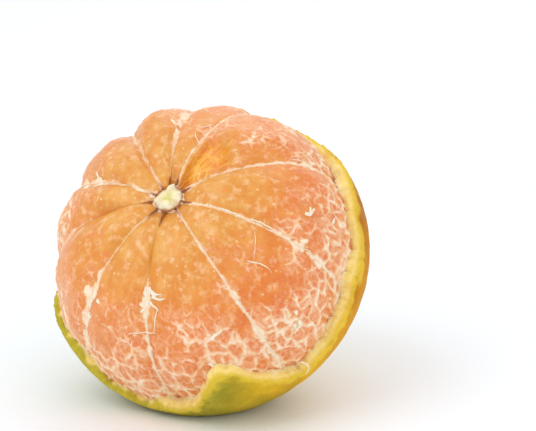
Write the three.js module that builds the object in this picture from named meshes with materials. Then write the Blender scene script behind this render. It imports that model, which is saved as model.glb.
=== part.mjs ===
// A half-peeled orange of the loose-skinned kind, lying on what is left of its peel.
//
// Millimetres, +Z up. The origin is the middle of the small flat spot that the peel rests on.
// The fruit's own axis runs through its peeled end. Round that axis, a longitude is measured
// from the meridian nearest the table, and a polar angle from the peeled end, both in degrees.

import * as THREE from 'three';

const { degToRad, smoothstep } = THREE.MathUtils;

// How the fruit lies
const lean = 46.8; // degrees between the fruit's axis and the vertical
const heading = -115.9; // degrees from +X to where the peeled end faces, seen from above
const pressedDepth = 2.2; // how far the underside is pressed flat
const pressedEase = 0.5; // height over which the round underside eases into the flat spot

// Peel
const peelRadius = 38; // outside, at the equator
const peelDepth = 30.4; // outside, from the centre to the blossom end
const peelWall = 2.35;
const peelShoulder = 32.6; // the same outside, carried on towards the peeled end
const slump = 1.7; // how far the loosened peel sags towards the table
const slumpPolar = 149; // polar angle where it sags most, and how far that spreads
const slumpSpread = 20;

// Flesh
const looseness = 0.45; // air between the loose peel and the flesh
const fleshRadius = peelRadius - peelWall - looseness;
const fleshDepth = peelDepth - peelWall - looseness;
const shoulderDepth = 30; // centre to the peeled end, before its hollow
const shoulderPower = 2.4; // above 2 the shoulders are fuller than an ellipse's
const hollowDepth = 4; // the hollow that the core stands in
const hollowWidth = 8;
const grooveDeep = 2.4; // between two lobes, at the peeled end and at the blossom end
const grooveShallow = 0.5;
const grooveFade = 1.5; // how fast the groove gets shallower on the way
const grooveSharpness = 3; // 2 makes a lobe evenly round, and more flattens its middle
const proudTop = 45; // polar angles between which a lobe that stands proud sinks back in line
const proudFoot = 72;
const seam = 0.34; // between two segments, and between a segment and the core
const polarStart = 8; // a segment's two tips, as polar angles
const polarEnd = 172;

// Core
const coreRadius = 3;
const coreTop = 27.6;
const coreCrown = 1.4; // height of the rounded knob at its top
const coreFoot = -26.6;

// Each segment: the longitude of its far wall, and how far its lobe stands proud.
const firstWall = 2;
const segments = [
  [47, 0],
  [84, 0.2],
  [126, 0.3],
  [171, 0.4],
  [194, -1.3],
  [224, 0.6],
  [259, 0.3],
  [288, -0.2],
  [328, 0.1],
  [360 + firstWall, 0],
];

// The torn rim of the peel, as longitude and polar angle, once round the fruit.
const rim = [
  [0, 95],
  [11, 94],
  [20, 81],
  [29, 75],
  [38, 85],
  [48, 97],
  [60, 97],
  [78, 90],
  [96, 88],
  [112, 80],
  [132, 84],
  [152, 90],
  [176, 88],
  [204, 81],
  [228, 92],
  [256, 87],
  [284, 92],
  [312, 82],
  [334, 91],
  [348, 96],
];

// Meshing
const peelColumns = 72;
const peelRows = 12;
const rimCrowding = 1.1; // above 1 sets the peel's rows closer together at its rim
const rimSteps = 8; // between two points of the rim
const segmentRows = 14;
const segmentColumns = 6;
const coreColumns = 20;
const crownSteps = 4;

const leanAngle = degToRad(lean);
const lowest = Math.hypot(peelRadius * Math.sin(leanAngle), peelDepth * Math.cos(leanAngle));
const touchOffset =
  ((peelRadius ** 2 - peelDepth ** 2) * Math.sin(leanAngle) * Math.cos(leanAngle)) / lowest;
const centreHeight = lowest - pressedDepth;
const up = new THREE.Vector3(-Math.sin(leanAngle), 0, Math.cos(leanAngle));

// Distance from the centre to a round body whose ends may be fuller than an ellipse's.
function roundBody(polar, radius, end, power) {
  const across = Math.abs(Math.sin(polar)) / radius;
  const along = Math.abs(Math.cos(polar)) / end;
  return (across ** power + along ** power) ** (-1 / power);
}

function peelOutside(polar) {
  return Math.cos(polar) > 0
    ? roundBody(polar, peelRadius, peelShoulder, shoulderPower)
    : roundBody(polar, peelRadius, peelDepth, 2);
}

function sag(polar, longitude) {
  const along = (polar - degToRad(slumpPolar)) / degToRad(slumpSpread);
  return slump * Math.exp(-(along ** 2)) * Math.max(Math.cos(longitude), 0) ** 2;
}

function fleshOutside(polar) {
  return Math.cos(polar) > 0
    ? roundBody(polar, fleshRadius, shoulderDepth, shoulderPower)
    : roundBody(polar, fleshRadius, fleshDepth, 2);
}

// Lifts a point of the fruit that hangs lower than the given height above the table.
function press(point, clearance) {
  const missing = clearance - centreHeight - point.dot(up);
  const eased = (Math.max(missing + pressedEase, 0) ** 2) / (4 * pressedEase);
  return point.addScaledVector(up, missing > pressedEase ? missing : eased);
}

function fruitPoint(polar, longitude, distance) {
  const out = distance * Math.sin(polar);
  return new THREE.Vector3(
    out * Math.cos(longitude),
    out * Math.sin(longitude),
    distance * Math.cos(polar),
  );
}

// A closed body through rings of points that all have one length. Each end closes to its middle.
function loft(rings) {
  const count = rings[0].length;
  const middles = [rings[0], rings.at(-1)].map((ring) =>
    ring.reduce((sum, p) => sum.add(p), new THREE.Vector3()).divideScalar(count),
  );
  const points = [...rings.flat(), ...middles];
  const [startMiddle, endMiddle] = [points.length - 2, points.length - 1];
  const lastRing = (rings.length - 1) * count;
  const faces = [];
  for (let i = 0; i < count; i++) {
    const next = (i + 1) % count;
    for (let start = 0; start < lastRing; start += count) {
      const [a, b, c, d] = [start + i, start + next, start + count + next, start + count + i];
      faces.push(a, d, b, b, d, c);
    }
    faces.push(startMiddle, i, next, endMiddle, lastRing + next, lastRing + i);
  }
  const geometry = new THREE.BufferGeometry().setFromPoints(points).setIndex(faces);
  geometry.computeVertexNormals();
  return geometry;
}

// The polar angle of the peel's torn rim at a longitude, on a smooth closed curve.
const rimCurve = new THREE.CatmullRomCurve3(
  [...rim, ...rim, ...rim].map(
    ([longitude, polar], i) =>
      new THREE.Vector3(longitude + 360 * (Math.floor(i / rim.length) - 1), polar, 0),
  ),
).getPoints(rim.length * 3 * rimSteps);

function rimPolar(longitude) {
  const after = rimCurve.findIndex((p) => p.x > longitude);
  const [a, b] = [rimCurve[after - 1], rimCurve[after]];
  return a.y + ((longitude - a.x) / (b.x - a.x)) * (b.y - a.y);
}

// Peel: a bowl, lofted from the inside of the blossom end up to the rim and down the outside.
function peelGeometry() {
  const ring = (share, inside) =>
    Array.from({ length: peelColumns }, (_, i) => {
      const longitude = degToRad((i * 360) / peelColumns);
      const top = rimPolar((i * 360) / peelColumns);
      const polar = degToRad(top + (180 - top) * share);
      const skin = inside ? -peelWall : sag(polar, longitude);
      const point = fruitPoint(polar, longitude, peelOutside(polar) + skin);
      return press(point, inside ? peelWall : 0);
    });
  const shares = Array.from({ length: peelRows }, (_, j) => (j / peelRows) ** rimCrowding);
  return loft([
    ...shares.toReversed().map((share) => ring(share, true)),
    ...shares.map((share) => ring(share, false)),
  ]);
}

// The surface of a segment, where across runs from 0 at its near wall to 1 at its far wall.
function lobePoint(polar, across, near, far, proud) {
  const side = Math.abs(2 * across - 1);
  const towardsPeeled = (1 + Math.cos(polar)) / 2;
  const groove = grooveShallow + (grooveDeep - grooveShallow) * towardsPeeled ** grooveFade;
  const bare = 1 - smoothstep(polar, degToRad(proudTop), degToRad(proudFoot));
  const lobe = proud * bare * (1 - side ** 2) - groove * side ** grooveSharpness;
  const distance = fleshOutside(polar) + lobe;
  const out = distance * Math.sin(polar);
  const slack = Math.asin(seam / 2 / out);
  const longitude = near + slack + across * (far - near - 2 * slack);
  const point = fruitPoint(polar, longitude, distance);
  if (Math.cos(polar) > 0) point.z -= hollowDepth * Math.exp(-((out / hollowWidth) ** 2));
  return press(point, peelWall + looseness);
}

// Segment: a wedge, lofted from its tip at the peeled end to its tip at the blossom end.
function segmentGeometry(near, far, proud) {
  const inner = coreRadius + seam;
  const slack = Math.asin(seam / 2 / inner);
  const rings = Array.from({ length: segmentRows + 1 }, (_, j) => {
    const polar = degToRad(polarStart + ((polarEnd - polarStart) * j) / segmentRows);
    const skin = Array.from({ length: segmentColumns + 1 }, (_, k) =>
      lobePoint(polar, k / segmentColumns, near, far, proud),
    );
    const height = (skin[0].z + skin.at(-1).z) / 2;
    const edge = [far - slack, (near + far) / 2, near + slack].map(
      (longitude) =>
        new THREE.Vector3(inner * Math.cos(longitude), inner * Math.sin(longitude), height),
    );
    return [...skin, ...edge];
  });
  return loft(rings);
}

// Core: the white pith that the segments hang on, with a rounded knob at the peeled end.
function coreGeometry() {
  const crown = Array.from({ length: crownSteps }, (_, i) => {
    const turn = (i / crownSteps) * (Math.PI / 2);
    return new THREE.Vector2(
      coreRadius * Math.cos(turn),
      coreTop - coreCrown + coreCrown * Math.sin(turn),
    );
  });
  const profile = [
    new THREE.Vector2(0, coreFoot),
    new THREE.Vector2(coreRadius, coreFoot),
    ...crown,
    new THREE.Vector2(0, coreTop),
  ];
  return new THREE.LatheGeometry(profile, coreColumns).rotateX(Math.PI / 2);
}

function piece(name, geometry, material) {
  const mesh = new THREE.Mesh(geometry, material);
  mesh.name = name;
  return mesh;
}

const peelSkin = new THREE.MeshStandardMaterial({ color: 0xa9a32c, roughness: 0.45 });
const pith = new THREE.MeshStandardMaterial({ color: 0xf3e7c8, roughness: 0.8 });
const flesh = new THREE.MeshStandardMaterial({ color: 0xee9a48, roughness: 0.3 });

const fruit = new THREE.Group();
fruit.position.set(-touchOffset, 0, centreHeight);
fruit.rotation.y = leanAngle;
fruit.add(piece('peel', peelGeometry(), peelSkin));
fruit.add(piece('core_pith', coreGeometry(), pith));
segments.forEach(([farWall, proud], i) => {
  const nearWall = i ? segments[i - 1][0] : firstWall;
  const geometry = segmentGeometry(degToRad(nearWall), degToRad(farWall), proud);
  fruit.add(piece(`segment_${String(i + 1).padStart(2, '0')}`, geometry, flesh));
});

const orange = new THREE.Group();
orange.rotation.z = degToRad(heading);
orange.add(fruit);

export default orange;
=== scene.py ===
import math
import random

import bpy
import numpy as np
from mathutils import Matrix, Vector


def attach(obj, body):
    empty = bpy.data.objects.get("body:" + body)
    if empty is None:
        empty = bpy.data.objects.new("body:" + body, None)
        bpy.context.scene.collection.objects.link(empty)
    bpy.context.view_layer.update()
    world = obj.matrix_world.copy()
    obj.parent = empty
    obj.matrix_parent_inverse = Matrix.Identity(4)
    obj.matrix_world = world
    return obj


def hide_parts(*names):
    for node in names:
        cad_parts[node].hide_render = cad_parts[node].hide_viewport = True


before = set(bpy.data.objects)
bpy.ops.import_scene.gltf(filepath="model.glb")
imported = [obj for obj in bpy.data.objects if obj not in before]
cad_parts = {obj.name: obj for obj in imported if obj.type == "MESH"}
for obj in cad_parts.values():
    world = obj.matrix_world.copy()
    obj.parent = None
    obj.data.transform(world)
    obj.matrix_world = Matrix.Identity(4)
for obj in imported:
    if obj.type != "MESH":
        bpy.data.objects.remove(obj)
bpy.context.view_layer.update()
mm = 0.001  # the fruit's own shapes are worked out in millimetres

# The fruit's own frame: +Z towards the peeled end, longitude 0 nearest the table
fruit = {
    "lean": 46.8,  # degrees
    "heading": -115.9,  # degrees
    "peelRadius": 38.0,
    "peelDepth": 30.4,
    "peelWall": 2.35,
    "peelShoulder": 32.6,
    "slump": 1.7,
    "slumpPolar": 149.0,
    "slumpSpread": 20.0,
    "looseness": 0.45,
    "shoulderDepth": 30.0,
    "shoulderPower": 2.4,
    "hollowDepth": 4.0,
    "hollowWidth": 8.0,
    "pressedDepth": 2.2,
    "pressedEase": 0.5,
}
leanAngle = math.radians(fruit["lean"])
headingAngle = math.radians(fruit["heading"])
leanSine, leanCosine = math.sin(leanAngle), math.cos(leanAngle)
lowest = math.hypot(fruit["peelRadius"] * leanSine, fruit["peelDepth"] * leanCosine)
flattening = fruit["peelRadius"] ** 2 - fruit["peelDepth"] ** 2
touchOffset = flattening * leanSine * leanCosine / lowest
centreHeight = lowest - fruit["pressedDepth"]
fruitUp = np.array([-math.sin(leanAngle), 0.0, math.cos(leanAngle)])
fruitTurn = np.array(Matrix.Rotation(headingAngle, 3, "Z") @ Matrix.Rotation(leanAngle, 3, "Y"))
fruitCentre = np.array(Matrix.Rotation(headingAngle, 3, "Z") @ Vector((-touchOffset, 0, centreHeight)))


def smooth(value, low, high):
    share = np.clip((value - low) / (high - low), 0, 1)
    return share * share * (3 - 2 * share)


def roundBody(polar, radius, end, power):
    across = np.abs(np.sin(polar)) / radius
    along = np.abs(np.cos(polar)) / end
    return (across ** power + along ** power) ** (-1 / power)


def skinDistance(polar):
    north = roundBody(polar, fruit["peelRadius"], fruit["peelShoulder"], fruit["shoulderPower"])
    south = roundBody(polar, fruit["peelRadius"], fruit["peelDepth"], 2)
    return np.where(np.cos(polar) > 0, north, south)


def fleshDistance(polar):
    inset = fruit["peelWall"] + fruit["looseness"]
    north = roundBody(polar, fruit["peelRadius"] - inset, fruit["shoulderDepth"], fruit["shoulderPower"])
    south = roundBody(polar, fruit["peelRadius"] - inset, fruit["peelDepth"] - inset, 2)
    return np.where(np.cos(polar) > 0, north, south)


def fruitPoint(polar, longitude, distance):
    out = distance * np.sin(polar)
    return np.stack([out * np.cos(longitude), out * np.sin(longitude), distance * np.cos(polar)], -1)


def press(points, clearance):
    missing = clearance - centreHeight - points @ fruitUp
    ease = fruit["pressedEase"]
    lift = np.where(missing > ease, missing, np.maximum(missing + ease, 0) ** 2 / (4 * ease))
    return points + lift[..., None] * fruitUp


def toFrame(points):
    return (points @ fruitTurn.T + fruitCentre) * mm


# A smooth wandering value round a circle or along a line, the same each run
def wander(angle, seed, waves):
    draw = random.Random(seed)
    total = np.zeros_like(angle)
    for count, size in waves:
        total = total + size * np.sin(count * angle + draw.uniform(0, 2 * math.pi))
    return total


# Node building, for shader trees and Geometry Nodes trees alike
def addNode(tree, kind, inputs=None, **settings):
    node = tree.nodes.new(kind)
    for name, value in settings.items():
        setattr(node, name, value)
    for name, value in (inputs or {}).items():
        if isinstance(value, bpy.types.NodeSocket):
            tree.links.new(value, node.inputs[name])
        else:
            node.inputs[name].default_value = value
    return node


def math2(tree, operation, first, second=0.0, clamp=False):
    settings = {"operation": operation, "use_clamp": clamp}
    return addNode(tree, "ShaderNodeMath", {0: first, 1: second}, **settings).outputs[0]


# How far a value is from its middle, times a size
def centred(tree, value, middle, size):
    return math2(tree, "MULTIPLY", math2(tree, "SUBTRACT", value, middle), size)


def ramp(tree, value, low, high, start=0.0, end=1.0):
    inputs = {"Value": value, "From Min": low, "From Max": high, "To Min": start, "To Max": end}
    return addNode(tree, "ShaderNodeMapRange", inputs, interpolation_type="SMOOTHSTEP").outputs["Result"]


def noise(tree, vector, scale, detail=2.0, roughness=0.5):
    inputs = {"Vector": vector, "Scale": scale, "Detail": detail, "Roughness": roughness}
    return addNode(tree, "ShaderNodeTexNoise", inputs)


def voronoi(tree, vector, scale, feature="DISTANCE_TO_EDGE"):
    inputs = {"Vector": vector, "Scale": scale}
    return addNode(tree, "ShaderNodeTexVoronoi", inputs, feature=feature).outputs["Distance"]


def vectorMath(tree, operation, first, second):
    return addNode(tree, "ShaderNodeVectorMath", {0: first, 1: second}, operation=operation).outputs[0]


def scaled(tree, vector, scale):
    return vectorMath(tree, "MULTIPLY", vector, scale)


# Moves a pattern's coordinates about, so that straight cell walls turn into curved strands
def warped(tree, vector, scale, amount):
    colour = noise(tree, vector, scale, 2.0).outputs["Color"]
    shift = vectorMath(tree, "SUBTRACT", colour, (0.5, 0.5, 0.5))
    return vectorMath(tree, "ADD", vector, scaled(tree, shift, (amount, amount, amount)))


def mixColour(tree, factor, first, second):
    node = tree.nodes.new("ShaderNodeMix")
    node.data_type = "RGBA"
    for index, value in ((0, factor), (6, first), (7, second)):
        if isinstance(value, bpy.types.NodeSocket):
            tree.links.new(value, node.inputs[index])
        else:
            node.inputs[index].default_value = value if index == 0 else (*value, 1.0)
    return node.outputs[2]


def readAttribute(tree, name, vector=False):
    if tree.bl_idname == "GeometryNodeTree":
        kind = "FLOAT_VECTOR" if vector else "FLOAT"
        node = addNode(tree, "GeometryNodeInputNamedAttribute", {"Name": name}, data_type=kind)
        return node.outputs["Attribute"]
    node = addNode(tree, "ShaderNodeAttribute", attribute_name=name)
    return node.outputs["Vector" if vector else "Fac"]


def newMaterial(name):
    material = bpy.data.materials.new(name)
    material.use_nodes = True
    tree = material.node_tree
    return material, tree, tree.nodes["Principled BSDF"]


def addBump(tree, shader, height, distance, strength=1.0):
    bump = addNode(tree, "ShaderNodeBump", {"Height": height, "Distance": distance, "Strength": strength})
    tree.links.new(bump.outputs["Normal"], shader.inputs["Normal"])


# The white pith net on the segments. Its pattern is worked out once, as attributes that both the relief
# and the colour read.
net = {
    "cell": 2.9,  # mm across one mesh of the net
    "stretch": 0.6,  # below 1 draws the meshes out along the fruit
    "fineCell": 1.35,
    "relief": 0.26,  # mm
    "wallWidth": 0.42,  # mm, half of the white line along a wall between two segments
    "wallRagged": 1.5,  # how much the grain eats into that line, and how much its width swings
    "wallSwing": 2.4,
    "patchScale": 0.13,  # patches with more or less pith
    "patchiness": 1.5,
    "grainScale": 0.75,
    "ragged": 0.22,  # how much the grain eats into the net
    "gapScale": 0.42,  # gaps in the coarse net
    "curl": (0.32, 2.4),  # scale and size of the bends in the coarse net
    "fineCurl": (0.6, 1.5),
}


def pithPattern(tree):
    place = readAttribute(tree, "fruitPlace", True)
    wall = readAttribute(tree, "wallDistance")
    wallPith = readAttribute(tree, "wallPith")
    density = readAttribute(tree, "netDensity")
    whole = math2(tree, "SUBTRACT", 1.0, readAttribute(tree, "torn"))
    patch = noise(tree, place, net["patchScale"], 2.0).outputs[0]
    grain = noise(tree, place, net["grainScale"], 3.0, 0.6).outputs[0]
    drawn = scaled(tree, place, (1, 1, net["stretch"]))
    level = math2(tree, "ADD", density, centred(tree, patch, 0.5, net["patchiness"]))
    rough = centred(tree, grain, 0.5, net["ragged"])
    # coarse net: walls of warped cells, wide where the pith is dense, and broken here and there
    edge = voronoi(tree, warped(tree, drawn, *net["curl"]), 1 / net["cell"])
    reach = math2(tree, "ADD", ramp(tree, level, 0.1, 1.0, -0.13, 0.07), rough)
    coarse = ramp(tree, math2(tree, "SUBTRACT", edge, reach), -0.06, 0.15, 1.0, 0.0)
    broken = ramp(tree, noise(tree, place, net["gapScale"]).outputs[0], 0.36, 0.54, 0.3, 1.0)
    coarse = math2(tree, "MULTIPLY", coarse, broken)
    # fine net: thin threads that show where the pith starts
    fineEdge = voronoi(tree, warped(tree, drawn, *net["fineCurl"]), 1 / net["fineCell"])
    fineReach = math2(tree, "ADD", ramp(tree, level, 0.0, 0.8, -0.2, 0.02), rough)
    fine = ramp(tree, math2(tree, "SUBTRACT", fineEdge, fineReach), -0.04, 0.14, 0.7, 0.0)
    # the line along a wall, ragged at its sides and wider here and there
    swing = centred(tree, noise(tree, place, 0.3).outputs[0], 0.5, net["wallSwing"])
    ragged = math2(tree, "ADD", centred(tree, grain, 0.45, net["wallRagged"]), swing)
    lineReach = math2(tree, "MULTIPLY", wallPith, math2(tree, "ADD", net["wallWidth"], ragged))
    line = ramp(tree, math2(tree, "SUBTRACT", wall, lineReach), -0.25, 0.35, 1.0, 0.0)
    line = math2(tree, "MULTIPLY", line, ramp(tree, wallPith, 0.02, 0.3))
    thick = math2(tree, "MULTIPLY", math2(tree, "MAXIMUM", coarse, line), whole, clamp=True)
    fine = math2(tree, "MULTIPLY", fine, whole, clamp=True)
    haze = ramp(tree, grain, 0.2, 0.65)
    film = math2(tree, "MULTIPLY", ramp(tree, level, -0.15, 0.85), haze, clamp=True)
    return {"thick": thick, "fine": fine, "film": film, "grain": grain}


# A Geometry Nodes tree of one mesh input, with its named inputs and its output set up
def newGeometryTree(name, sizes):
    tree = bpy.data.node_groups.new(name, "GeometryNodeTree")
    tree.interface.new_socket("Geometry", in_out="INPUT", socket_type="NodeSocketGeometry")
    for label, value in sizes.items():
        socket = tree.interface.new_socket(label, in_out="INPUT", socket_type="NodeSocketFloat")
        socket.default_value = value
    tree.interface.new_socket("Material", in_out="INPUT", socket_type="NodeSocketMaterial")
    tree.interface.new_socket("Geometry", in_out="OUTPUT", socket_type="NodeSocketGeometry")
    return tree, tree.nodes.new("NodeGroupInput"), tree.nodes.new("NodeGroupOutput")


def endTree(tree, given, result, geometry):
    realized = addNode(tree, "GeometryNodeRealizeInstances", {"Geometry": geometry}).outputs[0]
    inputs = {"Geometry": realized, "Material": given.outputs["Material"]}
    painted = addNode(tree, "GeometryNodeSetMaterial", inputs).outputs[0]
    tree.links.new(painted, result.inputs[0])


# Moves a surface out along its normals
def raised(tree, geometry, height):
    inputs = {0: tree.nodes.new("GeometryNodeInputNormal").outputs[0], "Scale": height}
    offset = addNode(tree, "ShaderNodeVectorMath", inputs, operation="SCALE").outputs[0]
    return addNode(tree, "GeometryNodeSetPosition", {"Geometry": geometry, "Offset": offset}).outputs[0]


# Runs a tree on an object, and leaves a plain mesh in its place
def bakeTree(source, tree, values, name):
    modifier = source.modifiers.new("shape", "NODES")
    modifier.node_group = tree
    for item in tree.interface.items_tree:
        if item.item_type == "SOCKET" and item.in_out == "INPUT" and item.name in values:
            modifier[item.identifier] = values[item.name]
    bpy.context.view_layer.update()
    evaluated = source.evaluated_get(bpy.context.evaluated_depsgraph_get())
    mesh = bpy.data.meshes.new_from_object(evaluated)
    bpy.data.objects.remove(source)
    mesh.name = name
    piece = bpy.data.objects.new(name, mesh)
    bpy.context.scene.collection.objects.link(piece)
    return piece


def netReliefTree():
    tree, given, result = newGeometryTree("pithRelief", {"Relief": net["relief"] * mm})
    pattern = pithPattern(tree)
    flow = readAttribute(tree, "flow", True)
    sacs = voronoi(tree, scaled(tree, flow, (1, 0.45, 1)), 0.7)
    sacs = math2(tree, "MULTIPLY", sacs, readAttribute(tree, "torn"))
    rise = pattern["thick"]
    for share in (
        math2(tree, "MULTIPLY", pattern["fine"], 0.35),
        centred(tree, pattern["grain"], 0.5, 0.3),
        math2(tree, "MULTIPLY", sacs, 1.6),
    ):
        rise = math2(tree, "ADD", rise, share)
    rise = math2(tree, "MULTIPLY", rise, readAttribute(tree, "bare"))
    height = math2(tree, "MULTIPLY", rise, given.outputs["Relief"])
    kept = given.outputs[0]
    for name, value in pattern.items():
        inputs = {"Geometry": kept, "Name": name, "Value": value}
        kept = addNode(tree, "GeometryNodeStoreNamedAttribute", inputs).outputs[0]
    endTree(tree, given, result, raised(tree, kept, height))
    return tree


def fleshMaterial():
    material, tree, shader = newMaterial("moist flesh")
    place = readAttribute(tree, "fruitPlace", True)
    thick, fine, film, grain = (readAttribute(tree, name) for name in ("thick", "fine", "film", "grain"))
    deepTintAndShade = readAttribute(tree, "deepTintAndShade")
    torn = readAttribute(tree, "torn")
    flow = readAttribute(tree, "flow", True)
    streak = noise(tree, scaled(tree, flow, (1.1, 0.16, 1)), 1.0, 3.0, 0.6).outputs[0]
    cloud = noise(tree, place, 0.22, 3.0, 0.55).outputs[0]
    golden = mixColour(tree, ramp(tree, cloud, 0.35, 0.68), (0.73, 0.30, 0.04), (0.78, 0.385, 0.08))
    deep = mixColour(tree, ramp(tree, cloud, 0.35, 0.68), (0.77, 0.17, 0.02), (0.83, 0.27, 0.05))
    # the flesh turns a deeper red-orange further from the core; the extra depth towards longitude 70, the side
    # turned from the key light, is painted shade
    colour = mixColour(tree, deepTintAndShade, golden, deep)
    colour = mixColour(tree, ramp(tree, streak, 0.5, 0.8, 0.0, 0.4), colour, (0.9, 0.52, 0.2))
    colour = mixColour(tree, ramp(tree, streak, 0.5, 0.25, 0.0, 0.35), colour, (0.68, 0.2, 0.03))
    mottle = noise(tree, place, 0.5, 4.0, 0.65).outputs[0]
    colour = mixColour(tree, ramp(tree, mottle, 0.5, 0.68, 0.0, 0.65), colour, (0.89, 0.57, 0.30))
    colour = mixColour(tree, ramp(tree, mottle, 0.48, 0.32, 0.0, 0.6), colour, (0.80, 0.27, 0.03))
    sac = voronoi(tree, warped(tree, scaled(tree, flow, (1, 0.45, 1)), 0.5, 0.8), 0.7)
    pulp = mixColour(tree, ramp(tree, sac, 0.0, 0.16), (0.90, 0.50, 0.10), (0.83, 0.33, 0.01))
    colour = mixColour(tree, math2(tree, "MULTIPLY", torn, 0.9), colour, pulp)
    colour = mixColour(tree, ramp(tree, film, 0.2, 0.9, 0.0, 0.65), colour, (0.77, 0.15, 0.015))
    colour = mixColour(tree, ramp(tree, film, 0.3, 1.0, 0.0, 0.3), colour, (0.92, 0.52, 0.27))
    colour = mixColour(tree, math2(tree, "MULTIPLY", fine, 0.75), colour, (0.92, 0.58, 0.35))
    # painted glints: small pale dots stand in for the sparkle on the wet flesh
    glintDots = voronoi(tree, place, 0.36, "F1")
    colour = mixColour(tree, ramp(tree, glintDots, 0.05, 0.12, 0.65, 0.0), colour, (0.96, 0.76, 0.5))
    colour = mixColour(tree, ramp(tree, thick, 0.05, 0.6), colour, (0.90, 0.54, 0.31))
    cream = mixColour(tree, ramp(tree, grain, 0.35, 0.65), (0.95, 0.68, 0.46), (0.98, 0.84, 0.66))
    colour = mixColour(tree, ramp(tree, thick, 0.6, 1.0, 0.0, 0.82), colour, cream)
    tree.links.new(colour, shader.inputs["Base Color"])
    tree.links.new(ramp(tree, thick, 0.0, 1.0, 0.34, 0.62), shader.inputs["Roughness"])
    shader.inputs["Subsurface Weight"].default_value = 0.3
    shader.inputs["Subsurface Radius"].default_value = (1.0, 0.42, 0.16)
    shader.inputs["Subsurface Scale"].default_value = 1.2 * mm
    shader.inputs["Specular IOR Level"].default_value = 0.45
    bumps = math2(tree, "ADD", math2(tree, "MULTIPLY", streak, 0.5), noise(tree, place, 1.6, 3.0).outputs[0])
    addBump(tree, shader, bumps, 0.25 * mm, 0.5)
    return material


def pithMaterial():
    material, tree, shader = newMaterial("white pith")
    place = scaled(tree, tree.nodes.new("ShaderNodeTexCoord").outputs["Object"], (1 / mm, 1 / mm, 1 / mm))
    cloud = noise(tree, place, 0.8, 4.0, 0.6).outputs[0]
    colour = mixColour(tree, ramp(tree, cloud, 0.3, 0.7), (0.96, 0.82, 0.58), (1.0, 0.94, 0.78))
    green = mixColour(tree, 0.85, colour, (0.82, 0.74, 0.28))
    colour = mixColour(tree, readAttribute(tree, "heart"), colour, green)
    tree.links.new(colour, shader.inputs["Base Color"])
    shader.inputs["Roughness"].default_value = 0.62
    shader.inputs["Subsurface Weight"].default_value = 0.1
    shader.inputs["Subsurface Radius"].default_value = (1.0, 0.7, 0.4)
    shader.inputs["Subsurface Scale"].default_value = 1.2 * mm
    addBump(tree, shader, noise(tree, place, 1.7, 4.0, 0.6).outputs[0], 0.4 * mm, 0.8)
    return material


# The peel: a torn cup, its skin pitted by oil glands
peelShape = {
    "columns": 620,
    "outerRows": 124,
    "rimRows": 7,
    "innerRows": 10,
    "wall": 2.35,
    "thinned": 0.5,  # mm less wall at this longitude
    "thinnedAt": 325.0,
    "gland": 1.05,  # mm from one oil gland to the next
    "glandDepth": 0.1,  # mm
}

# The segments. Walls are named by the longitude where two segments meet.
segmentShape = {
    "fineStep": 0.23,  # mm between points on the bare part
    "coarseStep": 1.6,
    "radius": 33.0,  # mm, turns a step on the bare part into an angle, and one at the back
    "backRadius": 30.0,
    "start": 6.0,  # polar angle of the tip beside the core
    "end": 172.0,
    "tuckedUnder": 7.0,  # degrees below the peel's rim where the fine part ends
    "groove": 0.6,  # mm, at the blossom end
    "grooveFade": 1.5,
    "tipGroove": 0.1,  # share of a groove's depth that is left beside the core
    "grooveEase": (9.0, 34.0),  # polar angles between which it gets its full depth
    "proudFade": (45.0, 72.0),  # polar angles between which a proud lobe sinks back in line
    "fullness": 2.6,  # 2 makes a lobe evenly round, and more flattens its middle
    "overlap": 0.24,  # mm that two segments run into each other, so no crack shows
    "coreRadius": 3.3,
    "unevenness": 0.35,  # mm
    "swell": 1.2,  # mm, towards the thin part of the peel
    "swellSpread": 38.0,
    "swellPolar": (62.0, 90.0),
}
# longitude, groove depth at the peeled end, width of its white line near the core and further down
walls = [
    (2, 1.9, 0.0, 0.8),
    (47, 1.6, 0.6, 1.3),
    (84, 1.8, 0.65, 0.9),
    (126, 2.0, 0.7, 0.8),
    (171, 2.3, 0.5, 0.9),
    (194, 2.6, 0.15, 2.4),
    (224, 3.2, 0.6, 1.1),
    (259, 3.3, 0.9, 2.2),
    (288, 2.9, 0.0, 0.8),
    (328, 2.1, 0.3, 1.6),
]
# thick white spots on a wall: its number in the list above, polar angle, spread and added width
knots = [(0, 45, 5, 2.0), (0, 62, 3, 1.0), (2, 60, 4, 1.6), (2, 71, 3, 1.6), (3, 62, 4, 1.0), (5, 38, 10, 1.2), (6, 36, 6, 0.6), (9, 50, 6, 1.5)]
# how far each lobe stands proud, and the polar angle where its pith net begins
lobes = [(0, 50), (0.2, 45), (0.3, 46), (0.4, 30), (-1.3, 38), (0.6, 42), (0.3, 48), (-0.2, 42), (0.1, 42), (0, 46)]
tornSkin = {"segment": 4, "polar": 20.0, "across": 0.5, "height": 16.0, "width": 0.44, "depth": 1.9}

# The torn rim of the peel, as longitude and polar angle
rim = [
    (0, 95), (11, 94), (20, 81), (29, 75), (38, 85), (48, 97), (60, 97), (78, 90), (96, 88), (112, 80),
    (132, 84), (152, 90), (176, 88), (204, 81), (228, 92), (256, 87), (284, 92), (312, 82), (334, 91), (348, 96),
]


def smoothRim(longitude):
    angles = np.array([a for a, _ in rim], float)
    polars = np.array([p for _, p in rim], float)
    turn = np.mod(longitude, 360)
    after = np.searchsorted(angles, turn, side="right")
    count = len(rim)
    low, high = (after - 1) % count, after % count
    span = np.mod(angles[high] - angles[low], 360)
    t = np.mod(turn - angles[low], 360) / span
    a, b, c, d = polars[(low - 1) % count], polars[low], polars[high], polars[(high + 1) % count]
    return 0.5 * (2 * b + (c - a) * t + (2 * a - 5 * b + 4 * c - d) * t ** 2 + (3 * b - a - 3 * c + d) * t ** 3)


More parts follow.
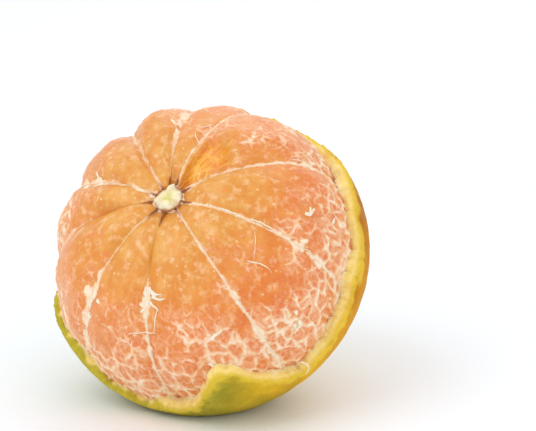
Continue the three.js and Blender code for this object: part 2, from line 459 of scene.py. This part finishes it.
def addMesh(name, points, faces, attributes):
    mesh = bpy.data.meshes.new(name)
    mesh.from_pydata(points.tolist(), [], faces)
    for label, values in attributes.items():
        kind, key = ("FLOAT_VECTOR", "vector") if values.ndim == 2 else ("FLOAT", "value")
        layer = mesh.attributes.new(label, kind, "POINT")
        layer.data.foreach_set(key, values.astype(np.float32).ravel())
    mesh.shade_smooth()
    piece = bpy.data.objects.new(name, mesh)
    bpy.context.scene.collection.objects.link(piece)
    return piece


# The points of all rings, and then the middle of the first and of the last ring
def closedPoints(rings):
    return np.concatenate([rings.reshape(-1, 3), rings[0].mean(0)[None], rings[-1].mean(0)[None]])


# Quads between rings of equal length, and a fan at each end to its middle point
def ringFaces(rows, count):
    start = np.arange(rows - 1)[:, None] * count + np.arange(count)
    beside = np.arange(rows - 1)[:, None] * count + (np.arange(count) + 1) % count
    quads = np.stack([start, start + count, beside + count, beside], -1).reshape(-1, 4).tolist()
    first, last, end = rows * count, rows * count + 1, (rows - 1) * count
    for i in range(count):
        following = (i + 1) % count
        quads.append((first, i, following))
        quads.append((last, end + following, end + i))
    return quads


def wallLevel(wall, polar):
    _, _, near, far = walls[wall]
    level = near + (far - near) * smooth(polar, 30, 62)
    for number, middle, spread, added in knots:
        if number == wall:
            level = level + added * np.exp(-(((polar - middle) / spread) ** 2))
    return level


# Distance from the fruit's centre to a lobe, where side runs from 0 at its middle to 1 at its walls
def lobeDistance(theta, side, top, proud):
    shape = segmentShape
    easeFrom, easeTo = np.radians(shape["grooveEase"])
    shallow = shape["tipGroove"] + (1 - shape["tipGroove"]) * smooth(theta, easeFrom, easeTo)
    towards = ((1 + np.cos(theta)) / 2) ** shape["grooveFade"]
    groove = shape["groove"] + (top * shallow - shape["groove"]) * towards
    fadeFrom, fadeTo = np.radians(shape["proudFade"])
    lobe = proud * (1 - smooth(theta, fadeFrom, fadeTo)) * (1 - side ** 2)
    return fleshDistance(theta) - groove * side ** shape["fullness"] + lobe


# Lowers points of the peeled end into the hollow that the core stands in
def sinkHollow(points):
    reach = np.hypot(points[..., 0], points[..., 1])
    hollow = fruit["hollowDepth"] * np.exp(-((reach / fruit["hollowWidth"]) ** 2))
    points[..., 2] -= np.where(points[..., 2] > 0, hollow, 0)
    return points


# The polar angles of a segment's rings, its columns from wall to wall, and where the peel hides it
def segmentGrid(near, far):
    shape = segmentShape
    hidden = np.max(smoothRim(np.degrees(np.linspace(near, far, 30)))) + shape["tuckedUnder"]
    bare = np.arange(shape["start"], hidden, math.degrees(shape["fineStep"] / shape["radius"]))
    covered = np.arange(hidden, shape["end"], math.degrees(shape["coarseStep"] / shape["backRadius"]))
    columns = int((far - near) * shape["radius"] / shape["fineStep"])
    polar = np.concatenate([bare, covered, [shape["end"]]])
    return polar[:, None], np.linspace(0, 1, columns + 1)[None, :], hidden


# 1 where the skin is torn away, with a ragged border
def tornPatch(polar, across):
    ragged = 0.13 * np.sin(across * 23) + 0.1 * np.sin(np.radians(polar) * 31 + 2)
    down = (polar - tornSkin["polar"]) / tornSkin["height"]
    sideways = (across - tornSkin["across"]) / tornSkin["width"]
    return 1 - smooth(np.hypot(down, sideways) + ragged, 0.72, 1.0)


# The two flat sides of a segment, and its edge along the core
def innerWalls(skin, near, far):
    radius = segmentShape["coreRadius"]
    slack = -math.asin(segmentShape["overlap"] / 2 / radius)
    height = (skin[:, 0, 2] + skin[:, -1, 2]) / 2
    edge = []
    for angle in (far - slack, (near + far) / 2, near + slack):
        across, along = np.full_like(height, math.cos(angle)), np.full_like(height, math.sin(angle))
        edge.append(np.stack([radius * across, radius * along, height], -1))
    shares = (0.08, 0.3, 0.65)
    farWall = [skin[:, -1] * (1 - share) + edge[0] * share for share in shares]
    nearWall = [skin[:, 0] * (1 - share) + edge[2] * share for share in reversed(shares)]
    return np.stack([*farWall, *edge, *nearWall], 1)


def buildSegment(number, tree, material):
    index, shape = number - 1, segmentShape
    following = (index + 1) % len(walls)
    near, far = math.radians(walls[index][0]), math.radians(walls[following][0])
    if far < near:
        far += 2 * math.pi
    proud, netStart = lobes[index]
    polar, across, hidden = segmentGrid(near, far)
    theta, side = np.radians(polar), np.abs(2 * across - 1)
    top = np.where(across < 0.5, walls[index][1], walls[following][1])
    phase = number * 1.7
    uneven = np.sin(theta * 7 + phase) * np.sin(across * 5 + phase * 2)
    uneven = uneven + 0.6 * np.sin(theta * 13 + across * 9 + phase)
    distance = lobeDistance(theta, side, top, proud)
    distance = distance + shape["unevenness"] * uneven * (1 - side ** 2) * smooth(theta, 0.2, 0.6)
    torn = tornPatch(polar, across) if number == tornSkin["segment"] else np.zeros(distance.shape)
    distance = distance - tornSkin["depth"] * torn
    slack = -np.arcsin(shape["overlap"] / 2 / (distance * np.sin(theta)))
    longitude = near + slack + across * (far - near - 2 * slack)
    fromThin = (np.mod(np.degrees(longitude), 360) - peelShape["thinnedAt"]) / shape["swellSpread"]
    swellFrom, swellTo = np.radians(shape["swellPolar"])
    distance = distance + shape["swell"] * np.exp(-(fromThin ** 2)) * smooth(theta, swellFrom, swellTo)
    skin = fruitPoint(theta, longitude, distance)
    width = np.hypot(skin[..., 0], skin[..., 1]) * (far - near)
    skin = press(sinkHollow(skin), fruit["peelWall"] + fruit["looseness"])
    rings = np.concatenate([skin, innerWalls(skin, near, far)], 1)
    rows, count = rings.shape[:2]
    points = closedPoints(rings)

    # A value for each point, where the inner walls and the two middles have none
    def spread(values):
        inner = np.zeros((rows, count - values.shape[1]))
        return np.concatenate([np.concatenate([values, inner], 1).ravel(), [0, 0]])

    degrees = polar + 0 * across
    rimPolar = smoothRim(np.degrees(longitude))
    density = 0.5 * smooth(degrees, netStart - 26, netStart + 6) - 0.04
    density = density + 0.3 * smooth(degrees, netStart + 6, netStart + 34)
    density = density + 0.35 * smooth(degrees, rimPolar - 24, rimPolar)
    wallPith = np.where(across < 0.5, wallLevel(index, degrees), wallLevel(following, degrees))
    # deeper colour further from the core, and more towards longitude 70, where the extra depth is painted shade
    deepTintAndShade = smooth(degrees, 24, 66) * (0.75 + 0.25 * np.cos(longitude - math.radians(70)))
    sideways, along = spread((across - 0.5) * width), spread(np.radians(degrees) * shape["radius"])
    attributes = {
        "fruitPlace": points + np.array([0, 0, number * 11.0]),
        "flow": np.stack([sideways, along, np.full(len(points), number * 7.0)], -1),
        "wallDistance": spread(np.minimum(across, 1 - across) * width),
        "wallPith": spread(wallPith),
        "netDensity": spread(density),
        "deepTintAndShade": spread(deepTintAndShade),
        "torn": spread(torn),
        "bare": spread(np.where(degrees < hidden - 2, 1.0, 0.0)),
    }
    source = addMesh("source", toFrame(points), ringFaces(rows, count), attributes)
    values = {"Relief": net["relief"] * mm, "Material": material}
    piece = bakeTree(source, tree, values, f"segment_flesh_{number:02d}")
    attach(piece, "root")
    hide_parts(f"segment_{number:02d}")




def tornRim(longitude):
    angle = np.radians(longitude)
    waves = [(9, 0.7), (17, 0.6), (29, 0.5), (47, 0.35), (83, 0.3), (131, 0.2), (197, 0.16)]
    return smoothRim(longitude) + wander(angle, 11, waves)


def buildPeel(tree, material):
    shape = peelShape
    longitude = np.arange(shape["columns"]) * 360 / shape["columns"]
    angle = np.radians(longitude)
    outerTop = tornRim(longitude)
    innerTop = outerTop - 0.4 + wander(angle, 23, [(11, 0.9), (23, 0.7), (41, 0.5), (73, 0.4), (151, 0.3)])
    thickness = shape["wall"] + wander(angle, 31, [(5, 0.12), (13, 0.16), (37, 0.14)])
    thickness = thickness - shape["thinned"] * np.exp(-(((longitude - shape["thinnedAt"]) / 34) ** 2))
    nearThin = np.exp(-(((longitude - shape["thinnedAt"]) / 40) ** 2))
    rings, skins, edges, depths = [], [], [], []

    def addRing(top, share, depth, skin):
        polar = np.radians(top + (180 - top) * share)
        sag = np.exp(-(((np.degrees(polar) - fruit["slumpPolar"]) / fruit["slumpSpread"]) ** 2))
        sag = fruit["slump"] * sag * np.maximum(np.cos(angle), 0) ** 2 * (1 - depth)
        dimple = 1.1 * np.exp(-((180 - np.degrees(polar)) / 7.5) ** 2)
        lip = 1.5 * depth * np.exp(-(((np.degrees(polar) - outerTop) / 5) ** 2))
        distance = skinDistance(polar) + sag - dimple - depth * thickness - lip
        points = fruitPoint(polar, angle, distance)
        rings.append(press(points, depth * shape["wall"]))
        skins.append(np.zeros(shape["columns"]) + skin)
        depths.append(np.full(shape["columns"], depth))
        edges.append((np.degrees(polar) - outerTop) * math.radians(1) * 36)

    for share in np.linspace(0.97, 0, shape["innerRows"]) ** 1.3:
        addRing(innerTop, share, 1.0, 0.0)
    for step in range(1, shape["rimRows"]):
        depth = 1 - step / shape["rimRows"]
        bulge = math.sin(math.pi * depth)
        ragged = wander(angle, 50 + step, [(19, 0.25), (43, 0.25), (97, 0.2), (173, 0.15)]) * bulge
        top = innerTop + (outerTop - innerTop) * (1 - depth) - 0.7 * bulge + ragged
        reach = 0.3 + 0.35 * nearThin * (1 + wander(angle, 83, [(31, 0.5), (67, 0.4)]))
        addRing(top, 0, depth, np.clip((reach - depth) / 0.2, 0, 1))
    for share in np.linspace(0, 1, shape["outerRows"]) ** 1.05 * 0.995:
        addRing(outerTop, share, 0.0, 1.0)
    grid = np.stack(rings)
    rows, count = grid.shape[:2]
    points = closedPoints(grid)
    attributes = {
        "fruitPlace": points,
        "skin": np.concatenate([np.concatenate(skins), [0, 1]]),
        "fromEdge": np.concatenate([np.concatenate(edges), [60, 60]]),
        "depth": np.concatenate([np.concatenate(depths), [1, 0]]),
    }
    source = addMesh("source", toFrame(points), ringFaces(rows, count), attributes)
    values = {"Gland Depth": shape["glandDepth"] * mm, "Material": material}
    piece = bakeTree(source, tree, values, "peel_rind")
    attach(piece, "root")
    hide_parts("peel")
    return piece


def glandPattern(tree, place):
    near = voronoi(tree, warped(tree, place, 0.9, 0.4), 1 / peelShape["gland"], "F1")
    return ramp(tree, near, 0.12, 0.5, 1.0, 0.0)


def peelReliefTree():
    tree, given, result = newGeometryTree("peelRelief", {"Gland Depth": peelShape["glandDepth"] * mm})
    place = readAttribute(tree, "fruitPlace", True)
    skin = readAttribute(tree, "skin")
    gland = math2(tree, "MULTIPLY", glandPattern(tree, place), skin)
    swell = centred(tree, noise(tree, place, 0.28, 3.0).outputs[0], 0.5, 4.0)
    fuzz = centred(tree, noise(tree, place, 0.9, 3.0).outputs[0], 0.5, 9.0)
    fuzz = math2(tree, "MULTIPLY", fuzz, math2(tree, "SUBTRACT", 1.0, skin))
    rise = math2(tree, "ADD", math2(tree, "SUBTRACT", swell, gland), fuzz)
    moved = raised(tree, given.outputs[0], math2(tree, "MULTIPLY", rise, given.outputs["Gland Depth"]))
    # nothing goes below the table
    place = tree.nodes.new("GeometryNodeInputPosition").outputs[0]
    parts = addNode(tree, "ShaderNodeSeparateXYZ", {0: place}).outputs
    level = math2(tree, "MAXIMUM", parts[2], 0.0)
    flat = addNode(tree, "ShaderNodeCombineXYZ", {0: parts[0], 1: parts[1], 2: level}).outputs[0]
    rested = addNode(tree, "GeometryNodeSetPosition", {"Geometry": moved, "Position": flat}).outputs[0]
    endTree(tree, given, result, rested)
    return tree


def peelMaterial():
    material, tree, shader = newMaterial("citrus rind")
    place = readAttribute(tree, "fruitPlace", True)
    skin = readAttribute(tree, "skin")
    edge = readAttribute(tree, "fromEdge")
    gland = glandPattern(tree, place)
    row = tree.nodes.new("ShaderNodeTexCoord").outputs["Object"]
    # sun side: towards the right and up the skin is golden, elsewhere green; further right the same mask lays a
    # painted shade
    facing = {0: row, 1: (26, -4, 5)}
    slope = addNode(tree, "ShaderNodeVectorMath", facing, operation="DOT_PRODUCT").outputs["Value"]
    blotch = noise(tree, place, 0.075, 3.0, 0.55).outputs[0]
    sunSideAndShade = math2(tree, "ADD", slope, centred(tree, blotch, 0.5, 1.0))
    cloud = noise(tree, place, 0.2, 3.0).outputs[0]
    green = mixColour(tree, ramp(tree, cloud, 0.35, 0.7), (0.30, 0.275, 0.022), (0.42, 0.355, 0.032))
    gold = mixColour(tree, ramp(tree, blotch, 0.4, 0.65), (0.80, 0.38, 0.008), (0.86, 0.50, 0.02))
    colour = mixColour(tree, ramp(tree, sunSideAndShade, 0.1, 1.0), green, gold)
    # painted shade: the far right of the skin is darkened to orange-brown, standing in for shade on that side
    colour = mixColour(tree, ramp(tree, sunSideAndShade, 0.7, 1.5, 0.0, 1.0), colour, (0.46, 0.14, 0.003))
    colour = mixColour(tree, math2(tree, "MULTIPLY", gland, 0.09), colour, (0.85, 0.72, 0.2))
    speck = voronoi(tree, place, 0.3, "F1")
    colour = mixColour(tree, ramp(tree, speck, 0.05, 0.13, 0.75, 0.0), colour, (0.14, 0.11, 0.02))
    rimGreen, rimGold = (0.56, 0.47, 0.05), (0.84, 0.60, 0.06)
    rimYellow = mixColour(tree, ramp(tree, sunSideAndShade, -0.5, 0.3), rimGreen, rimGold)
    strayed = centred(tree, noise(tree, place, 0.3, 3.0).outputs[0], 0.5, 9.0)
    nearRim = ramp(tree, math2(tree, "ADD", edge, strayed), 0.0, 3.2, 0.8, 0.0)
    colour = mixColour(tree, nearRim, colour, rimYellow)
    torn = noise(tree, place, 0.7, 4.0).outputs[0]
    cream = mixColour(tree, torn, (0.92, 0.74, 0.40), (0.98, 0.88, 0.62))
    yellow = mixColour(tree, torn, (0.92, 0.66, 0.14), (0.96, 0.82, 0.38))
    inwards = math2(tree, "ADD", readAttribute(tree, "depth"), math2(tree, "MULTIPLY", torn, 0.5))
    cream = mixColour(tree, ramp(tree, inwards, 0.75, 1.2), yellow, cream)
    colour = mixColour(tree, skin, cream, colour)
    tree.links.new(colour, shader.inputs["Base Color"])
    tree.links.new(ramp(tree, skin, 0.0, 1.0, 0.75, 0.5), shader.inputs["Roughness"])
    shader.inputs["Specular IOR Level"].default_value = 0.02
    shader.inputs["Subsurface Weight"].default_value = 0.05
    shader.inputs["Subsurface Radius"].default_value = (1.0, 0.6, 0.1)
    shader.inputs["Subsurface Scale"].default_value = 1.0 * mm
    fibres = noise(tree, place, 1.8, 4.0, 0.65).outputs[0]
    pits = math2(tree, "MULTIPLY", gland, -0.6)
    addBump(tree, shader, math2(tree, "ADD", math2(tree, "MULTIPLY", fibres, 0.45), pits), 0.16 * mm, 0.7)
    return material


# The knob of the core, with blunt arms that run out between the segments
knob = {"radius": 4.1, "top": 25.5, "dome": 2.9, "lump": 3.2, "rings": 44, "columns": 120, "foot": -26.0}


def buildCore(material):
    shape = knob
    angle = np.linspace(0, 2 * math.pi, shape["columns"], endpoint=False)
    arms = np.zeros_like(angle)
    for (longitude, _, near, _) in walls:
        apart = np.abs((np.degrees(angle) - longitude + 180) % 360 - 180)
        arms = arms + near * np.exp(-((apart / 15) ** 2))
    outline = 0.2 * arms + wander(angle, 5, [(2, 0.1), (3, 0.08), (5, 0.06), (9, 0.03)])
    rings, hearts = [], []
    for step in range(1, shape["rings"] + 1):
        share = step / shape["rings"]
        radius = shape["radius"] * share * (1 + outline * share ** 2)
        height = shape["top"] + shape["dome"] * (1 - share ** 2.8) - 0.9 * math.exp(-((share / 0.22) ** 2))
        lump = shape["lump"] * wander(angle, 7, [(2, 0.2), (4, 0.3), (7, 0.2)]) * share * (1 - 0.8 * share ** 2)
        rings.append(np.stack([radius * np.cos(angle), radius * np.sin(angle), height + lump], -1))
        hearts.append(np.full(len(angle), math.exp(-((share / 0.5) ** 2))))
    skirt = rings[-1]
    for drop, tuck in ((0.3, 1.07), (1.0, 1.16), (2.2, 1.2), (4.0, 1.0)):
        rings.append(skirt * np.array([tuck, tuck, 1]) - np.array([0, 0, drop]))
        hearts.append(np.zeros(len(angle)))
    for height in (10, shape["foot"]):
        rings.append(np.stack([2.7 * np.cos(angle), 2.7 * np.sin(angle), np.full(len(angle), float(height))], -1))
        hearts.append(np.zeros(len(angle)))
    grid = np.stack(rings)
    rows, count = grid.shape[:2]
    points = closedPoints(grid)
    attributes = {"heart": np.concatenate([np.concatenate(hearts), [1, 0]])}
    piece = addMesh("core_knob", toFrame(points), ringFaces(rows, count), attributes)
    piece.data.materials.append(material)
    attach(piece, "root")
    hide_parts("core_pith")


# Loose pith strands: paths over the flesh, laid on it and thickened by a tree
strand = {"sides": 7, "wave": 0.35, "step": 0.5}  # sides of a tube, and mm


def lobeSurface(polar, longitude):
    turn = (longitude - walls[0][0]) % 360 + walls[0][0]
    index = max(number for number, wall in enumerate(walls) if wall[0] <= turn)
    following = (index + 1) % len(walls)
    near = walls[index][0]
    far = walls[following][0] + (360 if following == 0 else 0)
    across = (turn - near) / (far - near)
    top = walls[index][1] if across < 0.5 else walls[following][1]
    theta = np.array(math.radians(polar))
    distance = lobeDistance(theta, abs(2 * across - 1), top, lobes[index][0])
    return sinkHollow(fruitPoint(theta, np.array(math.radians(longitude)), distance))


def strandTree():
    tree, given, result = newGeometryTree("pithStrand", {"Wave": strand["wave"] * mm})
    place = tree.nodes.new("GeometryNodeInputPosition").outputs[0]
    inMillimetres = scaled(tree, place, (1 / mm, 1 / mm, 1 / mm))
    colour = noise(tree, inMillimetres, 0.55, 2.0).outputs["Color"]
    inputs = {0: vectorMath(tree, "SUBTRACT", colour, (0.5, 0.5, 0.5)), "Scale": given.outputs["Wave"]}
    offset = addNode(tree, "ShaderNodeVectorMath", inputs, operation="SCALE").outputs[0]
    inputs = {"Geometry": given.outputs[0], "Offset": offset}
    waved = addNode(tree, "GeometryNodeSetPosition", inputs).outputs[0]
    curves = addNode(tree, "GeometryNodeMeshToCurve", {"Mesh": waved}).outputs[0]
    inputs = {"Resolution": strand["sides"], "Radius": 1.0}
    section = addNode(tree, "GeometryNodeCurvePrimitiveCircle", inputs).outputs[0]
    rough = noise(tree, inMillimetres, 1.1, 2.0).outputs[0]
    swollen = math2(tree, "ADD", 0.55, rough)
    radius = math2(tree, "MULTIPLY", readAttribute(tree, "thickness"), swollen)
    sized = addNode(tree, "GeometryNodeSetCurveRadius", {"Curve": curves, "Radius": radius}).outputs[0]
    inputs = {"Curve": sized, "Profile Curve": section, "Scale": radius, "Fill Caps": True}
    tube = addNode(tree, "GeometryNodeCurveToMesh", inputs).outputs[0]
    smoothed = addNode(tree, "GeometryNodeSetShadeSmooth", {0: tube}).outputs[0]
    endTree(tree, given, result, smoothed)
    return tree


def buildStrands(name, paths, tree, material):
    points, edges, thickness = [], [], []
    for path in paths:
        start = len(points)
        points.extend(point for point, _ in path)
        thickness.extend(radius * mm for _, radius in path)
        edges.extend((start + i, start + i + 1) for i in range(len(path) - 1))
    mesh = bpy.data.meshes.new(name)
    mesh.from_pydata(toFrame(np.array(points)).tolist(), edges, [])
    layer = mesh.attributes.new("thickness", "FLOAT", "POINT")
    layer.data.foreach_set("value", np.array(thickness, np.float32))
    source = bpy.data.objects.new("source", mesh)
    bpy.context.scene.collection.objects.link(source)
    values = {"Wave": strand["wave"] * mm, "Material": material}
    piece = bakeTree(source, tree, values, name)
    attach(piece, "root")
    return piece


# The next polar angle and longitude of a path, one step on over the fruit
def stepOn(polar, longitude, heading):
    radius, step = segmentShape["radius"], strand["step"]
    polar += math.degrees(step * math.cos(heading) / radius)
    longitude += math.degrees(step * math.sin(heading) / (radius * math.sin(math.radians(polar))))
    return polar, longitude


# A strand that starts on a wall and runs down it, thinning out
def wallPaths():
    draw = random.Random(3)
    paths = []
    for index, (longitude, _, near, far) in enumerate(walls):
        if near < 0.2:
            continue
        path = []
        polar, drift = 9.0, 0.0
        end = 50 + 14 * near
        while polar < end:
            drift += draw.uniform(-0.25, 0.25)
            fade = min(1, (end - polar) / 14)
            point = lobeSurface(polar, longitude + drift)
            out = point / np.linalg.norm(point)
            path.append((point - out * 0.04, 0.2 * near ** 0.5 * fade + 0.04))
            polar += 1.0
        paths.append(path)
    return paths


# A tuft of short thick fibres on a wall
def tuftPaths(longitude, polar, spread, count, seed):
    draw = random.Random(seed)
    paths = []
    for _ in range(count):
        turn, down = longitude + draw.gauss(0, spread * 0.5), polar + draw.gauss(0, spread)
        heading, radius = draw.gauss(0, 0.8), draw.uniform(0.3, 0.6)
        steps, path = draw.randint(3, 8), []
        for step in range(steps):
            point = lobeSurface(down, turn)
            out = point / np.linalg.norm(point)
            lifted = 0.15 - 0.35 * radius + draw.uniform(0, 0.1)
            path.append((point + out * lifted, radius * (1 - 0.7 * step / steps)))
            heading += draw.gauss(0, 0.35)
            down, turn = stepOn(down, turn, heading)
        paths.append(path)
    return paths


# One curl of pith that hangs over the peel
def curlPath(longitude, top, bottom):
    path = []
    for share in np.linspace(0, 1, 22):
        polar = math.radians(top + (bottom - top) * share)
        turn = math.radians(longitude + 1.1 * math.sin(4.3 * share))
        lifted = 0.2 + 0.5 * math.sin(math.pi * share)
        distance = skinDistance(np.array(polar)) + lifted
        point = fruitPoint(np.array(polar), np.array(turn), distance)
        path.append((point, 0.15 - 0.06 * share))
    return path


# Thin fibres that wander down the lobes
def fibrePaths(count, seed):
    draw = random.Random(seed)
    paths = []
    for _ in range(count):
        longitude = draw.uniform(0, 360)
        lobe = max(number for number, wall in enumerate(walls) if wall[0] <= (longitude - 2) % 360 + 2)
        start = lobes[lobe][1]
        polar = draw.uniform(start - 4, start + 34)
        heading = draw.gauss(0, 0.5)
        length = draw.uniform(3, 7)
        radius = draw.uniform(0.08, 0.15)
        path, gone = [], 0.0
        while gone < length and polar < float(smoothRim(np.array(longitude))) + 1:
            point = lobeSurface(polar, longitude)
            out = point / np.linalg.norm(point)
            fade = min(1, gone / 2 + 0.3, (length - gone) / 3 + 0.2)
            path.append((point + out * (net["relief"] * 0.8 - 0.3 * radius), radius * fade))
            heading += draw.gauss(0, 0.16) - heading * 0.03
            polar, longitude = stepOn(polar, longitude, heading)
            gone += strand["step"]
        if len(path) > 4:
            paths.append(path)
    return paths


print("materials")
flesh, pith, rind = fleshMaterial(), pithMaterial(), peelMaterial()

print("segments")
relief = netReliefTree()
for number in range(1, 11):
    buildSegment(number, relief, flesh)

print("peel")
buildPeel(peelReliefTree(), rind)

print("core and pith strands")
buildCore(pith)
strands = strandTree()
buildStrands("pith_wall_strands", wallPaths(), strands, pith)
buildStrands("pith_fibres", fibrePaths(14, 4), strands, pith)
# longitude, polar angle, spread, number of fibres and seed of each tuft
tuftPlaces = [
    (4, 46, 3, 8, 5),
    (27, 68, 4, 3, 6),
    (60, 74, 4, 3, 7),
    (100, 60, 4, 3, 8),
    (330, 60, 4, 4, 9),
    (262, 40, 4, 5, 10),
]
tufts = [path for place in tuftPlaces for path in tuftPaths(*place)]
tufts.append(curlPath(53, 89, 99))
buildStrands("pith_tufts", tufts, strands, pith)


# Floor, light and camera
studio = {
    "floorSize": 3.0,
    "distance": 0.45,
    "elevation": 16.0,
    "lens": 129.7,
    "turnRight": 1.84,  # degrees that the camera looks to the right of the fruit's centre
    "turnUp": 1.23,
    "worldStrength": 0.9,
    "lights": [  # name, place, size and power
        ("key", (-0.5, -0.35, 0.75), 0.6, 2.2),
        ("fill", (0.7, -0.6, 0.4), 0.7, 0.8),
        ("back", (0.2, 0.7, 0.6), 0.6, 0.8),
    ],
}


def buildFloor():
    half = studio["floorSize"] / 2
    mesh = bpy.data.meshes.new("floor")
    corners = [(-half, -half, 0), (half, -half, 0), (half, half, 0), (-half, half, 0)]
    mesh.from_pydata(corners, [], [(0, 1, 2, 3)])
    floor = bpy.data.objects.new("floor", mesh)
    bpy.context.scene.collection.objects.link(floor)
    material, tree, shader = newMaterial("pale floor")
    shader.inputs["Base Color"].default_value = (0.92, 0.955, 1.0, 1)
    shader.inputs["Roughness"].default_value = 0.6
    mesh.materials.append(material)


def addLight(name, place, size, power):
    data = bpy.data.lights.new(name, "AREA")
    data.size = size
    data.energy = power
    lamp = bpy.data.objects.new(name, data)
    bpy.context.scene.collection.objects.link(lamp)
    lamp.location = place
    aim = Vector((0, 0, 0.03)) - Vector(place)
    lamp.rotation_euler = aim.to_track_quat("-Z", "Y").to_euler()


def buildCamera():
    data = bpy.data.cameras.new("camera")
    data.lens = studio["lens"]
    data.sensor_width = 36
    camera = bpy.data.objects.new("camera", data)
    bpy.context.scene.collection.objects.link(camera)
    rise = math.radians(studio["elevation"])
    centre = Vector(fruitCentre) * mm
    camera.location = centre + Vector((0, -math.cos(rise), math.sin(rise))) * studio["distance"]
    turn = Matrix.Rotation(math.radians(90 - studio["elevation"] + studio["turnUp"]), 3, "X")
    camera.rotation_euler = (Matrix.Rotation(math.radians(-studio["turnRight"]), 3, "Z") @ turn).to_euler()
    data.clip_start, data.clip_end = 0.01, 20
    bpy.context.scene.camera = camera


print("studio")
buildFloor()
for light in studio["lights"]:
    addLight(*light)
world = bpy.data.worlds.new("pale world")
world.use_nodes = True
background = world.node_tree.nodes["Background"]
background.inputs["Color"].default_value = (1, 1, 1, 1)
background.inputs["Strength"].default_value = studio["worldStrength"]
bpy.context.scene.world = world
buildCamera()
bpy.context.scene.view_settings.view_transform = "Standard"
